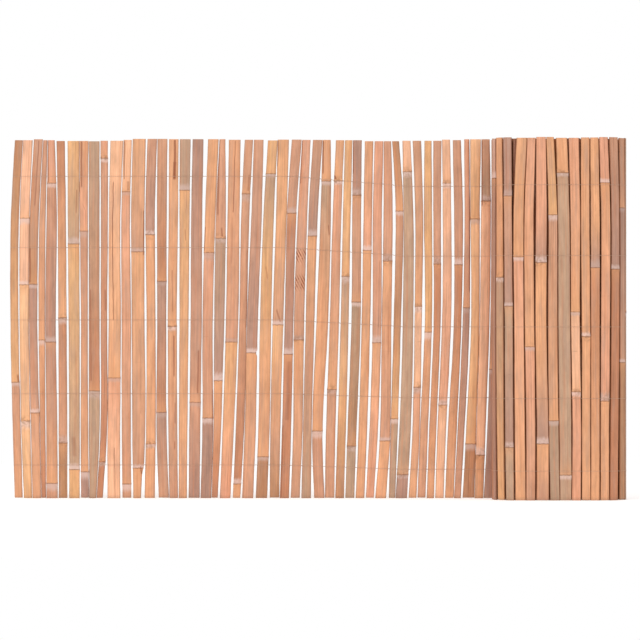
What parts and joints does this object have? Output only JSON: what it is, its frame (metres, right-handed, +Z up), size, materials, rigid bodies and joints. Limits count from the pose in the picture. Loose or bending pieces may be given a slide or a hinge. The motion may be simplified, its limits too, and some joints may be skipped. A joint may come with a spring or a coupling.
{
  "type": "bamboo fence panel",
  "caption": "Split bamboo fence panel with uneven tan, honey and salmon slats bound by thin wires, its far end rolled up in a flattened roll.",
  "frame": {"origin": "middle of the bottom of the box around the panel", "axes": "+Z up along the slats, +X along the panel from its free end to the roll, the open face looks to -Y"},
  "size_m": [0.8588, 0.0728, 0.5018],
  "materials": {
    "bamboo_honey": "matte",
    "bamboo_salmon": "matte",
    "bamboo_brown": "matte",
    "bamboo_khaki": "matte",
    "iron_wire": "dull"
  },
  "bodies": {
    "root": {"slat_01": "bamboo_honey", "slat_02": "bamboo_salmon", "slat_03": "bamboo_khaki", "slat_04": "bamboo_brown", "slat_05": "bamboo_salmon", "slat_06": "bamboo_brown", "slat_07": "bamboo_honey", "slat_08": "bamboo_salmon", "slat_09": "bamboo_khaki", "slat_10": "bamboo_brown", "slat_11": "bamboo_salmon", "slat_12": "bamboo_salmon", "slat_13": "bamboo_salmon", "slat_14": "bamboo_khaki", "slat_15": "bamboo_brown", "slat_16": "bamboo_honey", "slat_17": "bamboo_honey", "slat_18": "bamboo_khaki", "slat_19": "bamboo_salmon", "slat_20": "bamboo_brown", "slat_21": "bamboo_honey", "slat_22": "bamboo_brown", "slat_23": "bamboo_honey", "slat_24": "bamboo_honey", "slat_25": "bamboo_honey", "slat_26": "bamboo_brown", "slat_27": "bamboo_salmon", "slat_28": "bamboo_salmon", "slat_29": "bamboo_honey", "slat_30": "bamboo_brown", "slat_31": "bamboo_honey", "slat_32": "bamboo_khaki", "slat_33": "bamboo_salmon", "slat_34": "bamboo_salmon", "slat_35": "bamboo_salmon", "slat_36": "bamboo_brown", "slat_37": "bamboo_khaki", "slat_38": "bamboo_brown", "slat_39": "bamboo_honey", "slat_40": "bamboo_salmon", "slat_41": "bamboo_salmon", "slat_42": "bamboo_brown", "slat_43": "bamboo_brown", "slat_44": "bamboo_salmon", "slat_45": "bamboo_salmon", "slat_46": "bamboo_brown", "slat_47": "bamboo_honey", "slat_48": "bamboo_brown", "slat_49": "bamboo_honey", "slat_50": "bamboo_honey", "slat_51": "bamboo_brown", "slat_52": "bamboo_honey", "roll_outer_slats": "bamboo_salmon", "roll_inner_turns": "bamboo_brown", "binding_wire_1": "iron_wire", "binding_wire_2": "iron_wire", "binding_wire_3": "iron_wire", "binding_wire_4": "iron_wire", "binding_wire_5": "iron_wire"}
  },
  "joints": []
}
